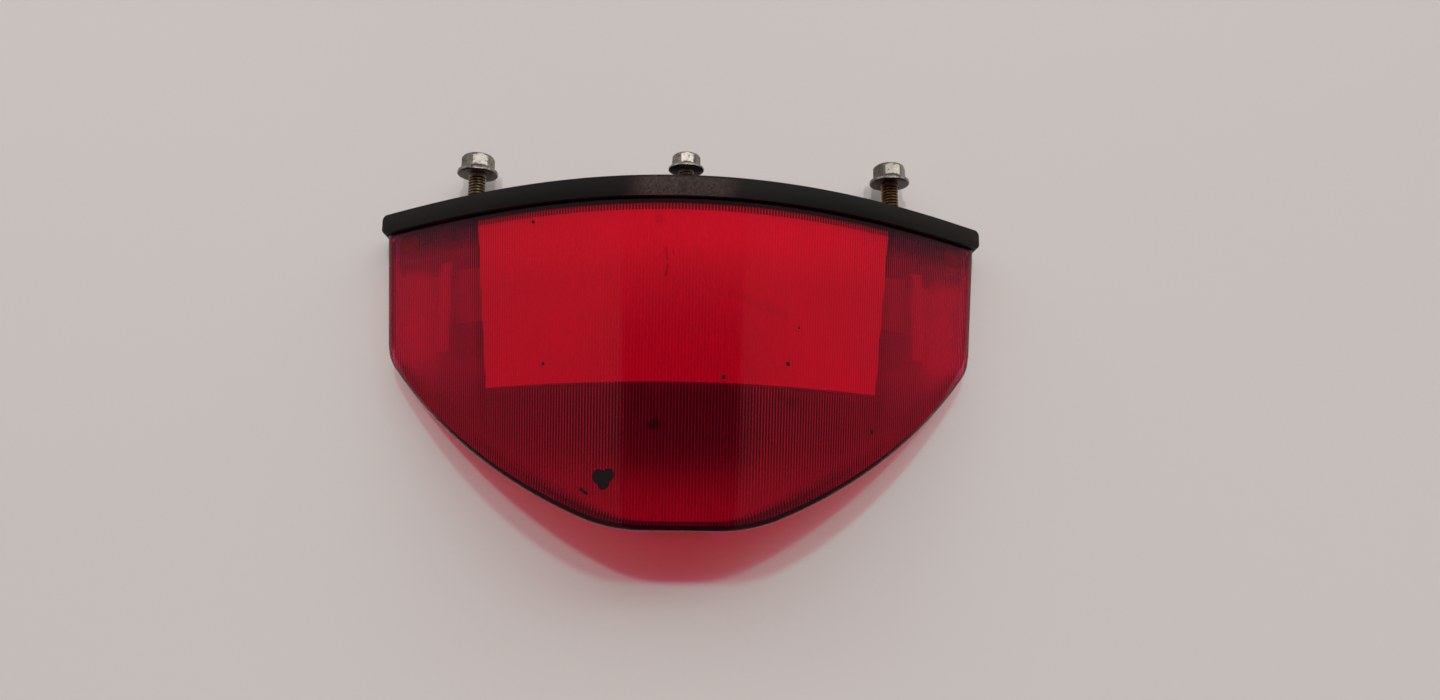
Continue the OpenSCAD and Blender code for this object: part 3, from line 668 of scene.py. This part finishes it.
# ------------------------------------------------------------------ flange bolts
def build_bolt(name, node, body, x0, y0, z0, d, length, af, fl, k, pitch, spin, shank):
    seg = 96
    rings = []                       # (height, radius function of angle, material)
    r_max = d / 2 - 0.05
    depth = 0.55 * pitch

    def thread(h):
        def f(a):
            t = (h / pitch - a / (2 * math.pi)) % 1.0
            tri = abs(2 * t - 1)
            fade = min(1.0, max(0.0, (-h - 0.4) / 1.2)) * 1.0
            chamfer = max(0.0, 0.7 - (h + length)) if h + length < 0.7 else 0.0
            return r_max - depth * min(1.0, max(0.0, tri * 1.25 - 0.15)) * fade - chamfer
        return f

    h = -length
    rings.append((h, lambda a: 0.001, 0))
    while h < -0.45:
        rings.append((h, thread(h), 0))
        h += pitch / 8
    rings.append((-0.4, lambda a: r_max, 0))
    rings.append((-0.02, lambda a: r_max + 0.02, 0))
    R = fl / 2
    # flange: flat seat, rounded rim, then a cone up to the hexagon
    rings += [(0.0, lambda a: r_max + 0.3, 2), (0.0, lambda a: R - 0.5, 2), (0.10, lambda a: R - 0.2, 2), (0.30, lambda a: R - 0.02, 1),
              (0.14 * k, lambda a: R, 1), (0.19 * k, lambda a: R - 0.15, 1), (0.22 * k, lambda a: R - 0.45, 1)]
    corner, top = af / math.sqrt(3), k

    def hexagon(a):
        t = (a - spin) % (math.pi / 3) - math.pi / 6
        return min(af / 2 / math.cos(t), corner - 0.18)

    for i in range(6):
        t = i / 5
        rings.append((k * (0.24 + 0.18 * t), lambda a, t=t: max(hexagon(a), (R - 0.6) * (1 - t) + (af / 2) * t - 0.45 * math.sin(math.pi * t)), 1))
    rings.append((k * 0.47, lambda a: hexagon(a), 1))
    # the top is turned to a dome that cuts the corners lowest
    low, cap = 0.42 * k, af * 0.33
    for i in range(13):
        t = i / 12
        lim = cap + (corner + 0.1 - cap) * math.sqrt(max(0.0, 1 - t ** 2.2))
        rings.append((top - low * (1 - t) * 0.94, lambda a, lim=lim: min(hexagon(a), lim), 2 if t > 0.86 else 1))
    rings += [(top - 0.02, lambda a: af * 0.30, 1), (top - 0.30, lambda a: af * 0.26, 1), (top - 0.34, lambda a: af * 0.2, 1), (top - 0.34, lambda a: 0.001, 1)]
    verts, faces, index = [], [], []
    for hh, f, mi in rings:
        for i in range(seg):
            a = 2 * math.pi * i / seg
            r = f(a)
            verts.append((x0 + r * math.cos(a), y0 + hh, z0 - r * math.sin(a)))
    for j in range(len(rings) - 1):
        for i in range(seg):
            i2 = (i + 1) % seg
            faces.append((j * seg + i, j * seg + i2, (j + 1) * seg + i2, (j + 1) * seg + i))
            kind = rings[j + 1][2]
            if kind == 0:                    # dark roots between the crests of the thread
                mid = ((rings[j][0] + rings[j + 1][0]) / 2 / pitch - (i + 0.5) / seg) % 1.0
                kind = 3 if abs(2 * mid - 1) > 0.5 and rings[j][0] < -0.8 else 0
            index.append(kind)
    faces.append(tuple(range(seg)))
    index.append(0)
    faces.append(tuple((len(rings) - 1) * seg + i for i in reversed(range(seg))))
    index.append(1)
    return make(name, verts, faces, body, (node,), 32, (shank, ZINC, GRIME_AND_SHADE, ROOTS), index)


build_bolt("bolt_left_detail", "mount_bolt_left", "bolt_left", -70.5, 16.5, 12, 6, 25, 10, 13.6, 7.0, 1.0, math.radians(20), DULL)
build_bolt("bolt_right_detail", "mount_bolt_right", "bolt_right", 70.5, 17.2, 12, 6, 25, 10, 13.6, 7.0, 1.0, math.radians(2), RUSTY)
build_bolt("bolt_centre_detail", "centre_bolt", "bolt_centre", 0, 9.2, 41, 5, 30, 8, 11.2, 5.4, 0.8, math.radians(3), DULL)


# ------------------------------------------------------------------ housing with eased edges
def mend(me):
    """Faces whose outline crosses itself are cut into plain triangles that stay inside the outline."""
    me.calc_loop_triangles()
    area = {}
    for t in me.loop_triangles:
        area[t.polygon_index] = area.get(t.polygon_index, 0.0) + t.area
    bad = [p.index for p in me.polygons if len(p.vertices) > 4 and abs(area[p.index] - p.area) > 0.01 * p.area + 1e-9]
    bm = bmesh.new()
    bm.from_mesh(me)
    bm.faces.ensure_lookup_table()
    gone = [bm.faces[i] for i in bad]
    for f in gone:
        f.normal_update()
        if f.calc_area() < 1e-9:
            continue
        n = f.normal.copy()
        u = n.orthogonal().normalized()
        w = n.cross(u)
        vs = list(f.verts)
        flat = [Vector((v.co.dot(u) / MM, v.co.dot(w) / MM)) for v in vs]
        level = sum(v.co.dot(n) for v in vs) / len(vs)
        pts, _, tris, origin, _, _ = delaunay_2d_cdt(flat, [], [list(range(len(vs)))], 1, 1e-4)
        new = [vs[k[0]] if k else bm.verts.new(u * (q.x * MM) + w * (q.y * MM) + n * level) for q, k in zip(pts, origin)]
        for t in tris:
            c = [new[k] for k in t]
            if len(set(c)) == 3 and bm.faces.get(c) is None:
                g = bm.faces.new(c)
                g.material_index = f.material_index
                g.normal_update()
                if g.normal.dot(n) < 0:
                    g.normal_flip()
    bmesh.ops.delete(bm, geom=gone, context="FACES_ONLY")
    bmesh.ops.delete(bm, geom=[e for e in bm.edges if not e.link_faces], context="EDGES")
    bmesh.ops.delete(bm, geom=[v for v in bm.verts if not v.link_faces], context="VERTS")
    bmesh.ops.remove_doubles(bm, verts=bm.verts, dist=2e-6)
    bm.to_mesh(me)
    bm.free()


def eased(name, node, body, width, segments=2, angle=30, ends=0.0, foot=None):
    src = N[node]
    me = src.data.copy()
    me.name = name
    bm = bmesh.new()
    bm.from_mesh(me)
    bmesh.ops.remove_doubles(bm, verts=bm.verts, dist=2e-6)
    bmesh.ops.dissolve_limit(bm, angle_limit=math.radians(0.4), verts=bm.verts, edges=bm.edges)
    if ends:                                 # rounder corners at both ends of the rim
        turn = []
        for e in bm.edges:
            a, b = (v.co for v in e.verts)
            if min(abs(a.x), abs(b.x)) > (RIM_W / 2 - 0.05) * MM and abs(a.y - b.y) < 1e-5 and abs(a.z - b.z) > 0.002:
                turn.append(e)
        bmesh.ops.bevel(bm, geom=turn, offset=ends * MM, segments=4, profile=0.5, affect="EDGES")
    bm.to_mesh(me)
    bm.free()
    o = bpy.data.objects.new(name, me)
    bpy.context.scene.collection.objects.link(o)
    b = o.modifiers.new("ease", "BEVEL")
    b.width = width * MM
    b.segments = segments
    b.limit_method = "ANGLE"
    b.angle_limit = math.radians(angle)
    b.use_clamp_overlap = True
    b.harden_normals = False
    dg = bpy.context.evaluated_depsgraph_get()
    new = bpy.data.meshes.new_from_object(o.evaluated_get(dg))
    o.modifiers.clear()
    o.data = new
    if foot:                                 # kept back behind the leaning foot of the lens wall
        edge = Outline(0, 0.0)
        for v in new.vertices:
            if v.co.z < 4.3 * MM and v.co.y < (YM - 60) * MM:
                x, y = abs(v.co.x) / MM, v.co.y / MM - YM
                lo, hi = edge.low, edge.high
                for _ in range(40):
                    mid = (lo + hi) / 2
                    lo, hi = (mid, hi) if edge.at(mid)[0] < x else (lo, mid)
                a = edge.at(lo)[1] if x > FLAT_X else 0.0
                base, back = lo if x > FLAT_X else edge.low, foot * lean(a) / math.cos(a)
                if y - base < 6:             # the 6 mm next to the outline close up by that much
                    v.co.y = (YM + base + back + max(y - base, 0.0) * (1 - back / 6)) * MM
    mend(new)
    new.polygons.foreach_set("use_smooth", [True] * len(new.polygons))
    new.set_sharp_from_angle(angle=math.radians(35))
    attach(o, body)
    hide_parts(node)
    return o


eased("housing_eased", "housing", "lamp", 0.65, 3, ends=1.6, foot=1.75)
eased("gasket_eased", "lens_gasket", "lamp", 0.1, 1, foot=1.75)

# springs, as own copies of the coil meshes carried by the lamp
for side, sx in (("left", -1), ("right", 1)):
    coil = bpy.data.objects.new("spring_coil_" + side, N["contact_spring_" + side].data.copy())
    bpy.context.scene.collection.objects.link(coil)
    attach(coil, "lamp")
    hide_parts("contact_spring_" + side)
    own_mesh(coil)

# ------------------------------------------------------------------ floor, light, camera
fm = Mat("floor")
fcol = fm.ramp(fm.noise(1.2, 2.0), (0.3, (0.60, 0.565, 0.55)), (0.7, (0.66, 0.63, 0.615)))
fm.shader(Base_Color=fcol, Roughness=0.55)
fl_me = bpy.data.meshes.new("floor")
fl_me.from_pydata([(-3, -3, -0.0002), (3, -3, -0.0002), (3, 3, -0.0002), (-3, 3, -0.0002)], [], [(0, 1, 2, 3)])
fl_me.materials.append(fm.m)
floor = bpy.data.objects.new("floor", fl_me)
bpy.context.scene.collection.objects.link(floor)


def area(name, loc, target, size, power, color=(1, 1, 1), glossy=True):
    ld = bpy.data.lights.new(name, "AREA")
    ld.shape = "RECTANGLE"
    ld.size, ld.size_y = size
    ld.energy = power
    ld.color = color
    o = bpy.data.objects.new(name, ld)
    o.location = loc
    o.rotation_mode = "QUATERNION"
    o.rotation_quaternion = (Vector(target) - Vector(loc)).to_track_quat("-Z", "Y")
    o.visible_glossy = o.visible_transmission = glossy
    bpy.context.scene.collection.objects.link(o)
    return o


KEY = 3.2
for name, side, watts in (("key_left", -1, 23.5), ("key_right", 1, 20.0)):
    area(name, (side * 0.11 * KEY, 0.26 * KEY, KEY), (0, 0, 0.0), (0.12, 0.12), watts, (1.0, 0.97, 0.94), glossy=False)

world = bpy.data.worlds.new("studio")
bpy.context.scene.world = world
world.use_nodes = True
wt = world.node_tree
wt.nodes.clear()


def wnode(kind, **props):
    x = wt.nodes.new(kind)
    for k, v in props.items():
        setattr(x, k, v)
    return x


def wmath(op, a, b=None):
    x = wnode("ShaderNodeMath", operation=op)
    for s, v in zip(x.inputs, (a, b)):
        if v is None:
            continue
        if isinstance(v, bpy.types.NodeSocket):
            wt.links.new(v, s)
        else:
            s.default_value = v
    return x.outputs[0]


def wramp(v, a, b, c, d):
    x = wnode("ShaderNodeMapRange", interpolation_type="SMOOTHSTEP")
    for i, w in zip((1, 2, 3, 4), (a, b, c, d)):
        x.inputs[i].default_value = w
    wt.links.new(v, x.inputs[0])
    return x.outputs[0]


# a wide soft box behind the lamp, dimmer walls left and right, dark above and in front
sep = wnode("ShaderNodeSeparateXYZ")
wt.links.new(wnode("ShaderNodeTexCoord").outputs["Generated"], sep.inputs[0])
up = wmath("MAXIMUM", sep.outputs[2], 0.06)
ty = sep.outputs[1]
tx = wmath("DIVIDE", wmath("ABSOLUTE", sep.outputs[0]), up)
box = wmath("MULTIPLY", wramp(ty, 0.24, 0.46, 0.0, 1.15), wramp(ty, 0.55, 0.9, 1.0, 0.45))
strip = wmath("MULTIPLY", wmath("MULTIPLY", wramp(ty, 0.28, 0.33, 0.0, 1.0), wramp(ty, 0.40, 0.46, 1.0, 0.0)),
              wramp(wmath("ABSOLUTE", wmath("SUBTRACT", sep.outputs[0], 0.2)), 0.30, 0.45, 4.3, 0.0))
box = wmath("ADD", box, strip)
gap = wramp(ty, 0.09, 0.22, 0.0, 0.8)
walls = wmath("MAXIMUM", wramp(tx, 0.43, 0.51, 0.0, 1.0), gap)
walls = wmath("MULTIPLY", wmath("MULTIPLY", walls, 0.17), wramp(ty, 0.0, 0.22, 0.55, 1.0))
bg = wnode("ShaderNodeBackground")
bg.inputs["Color"].default_value = (1.0, 0.97, 0.945, 1)
wt.links.new(wmath("ADD", box, 0.02), bg.inputs["Strength"])
side = wnode("ShaderNodeBackground")
side.inputs["Color"].default_value = (1.0, 0.94, 1.0, 1)
wt.links.new(walls, side.inputs["Strength"])
both = wnode("ShaderNodeAddShader")
wt.links.new(bg.outputs[0], both.inputs[0])
wt.links.new(side.outputs[0], both.inputs[1])
wt.links.new(both.outputs[0], wnode("ShaderNodeOutputWorld").inputs["Surface"])
bpy.context.scene.view_settings.view_transform = "Standard"

cam_d = bpy.data.cameras.new("camera")
cam_d.sensor_fit = "HORIZONTAL"
cam_d.sensor_width = 36.0
cam_d.lens = 26.25
cam = bpy.data.objects.new("camera", cam_d)
rot = Matrix.Rotation(math.radians(11.04), 4, "X") @ Matrix.Rotation(math.radians(-2.52), 4, "Y") @ Matrix.Rotation(math.radians(1.19), 4, "Z")
cam.matrix_world = Matrix.Translation((-0.002734, (-108.87 + YM) * MM, 0.35427)) @ rot
cam_d.clip_start, cam_d.clip_end = 0.01, 20
bpy.context.scene.collection.objects.link(cam)
bpy.context.scene.camera = cam
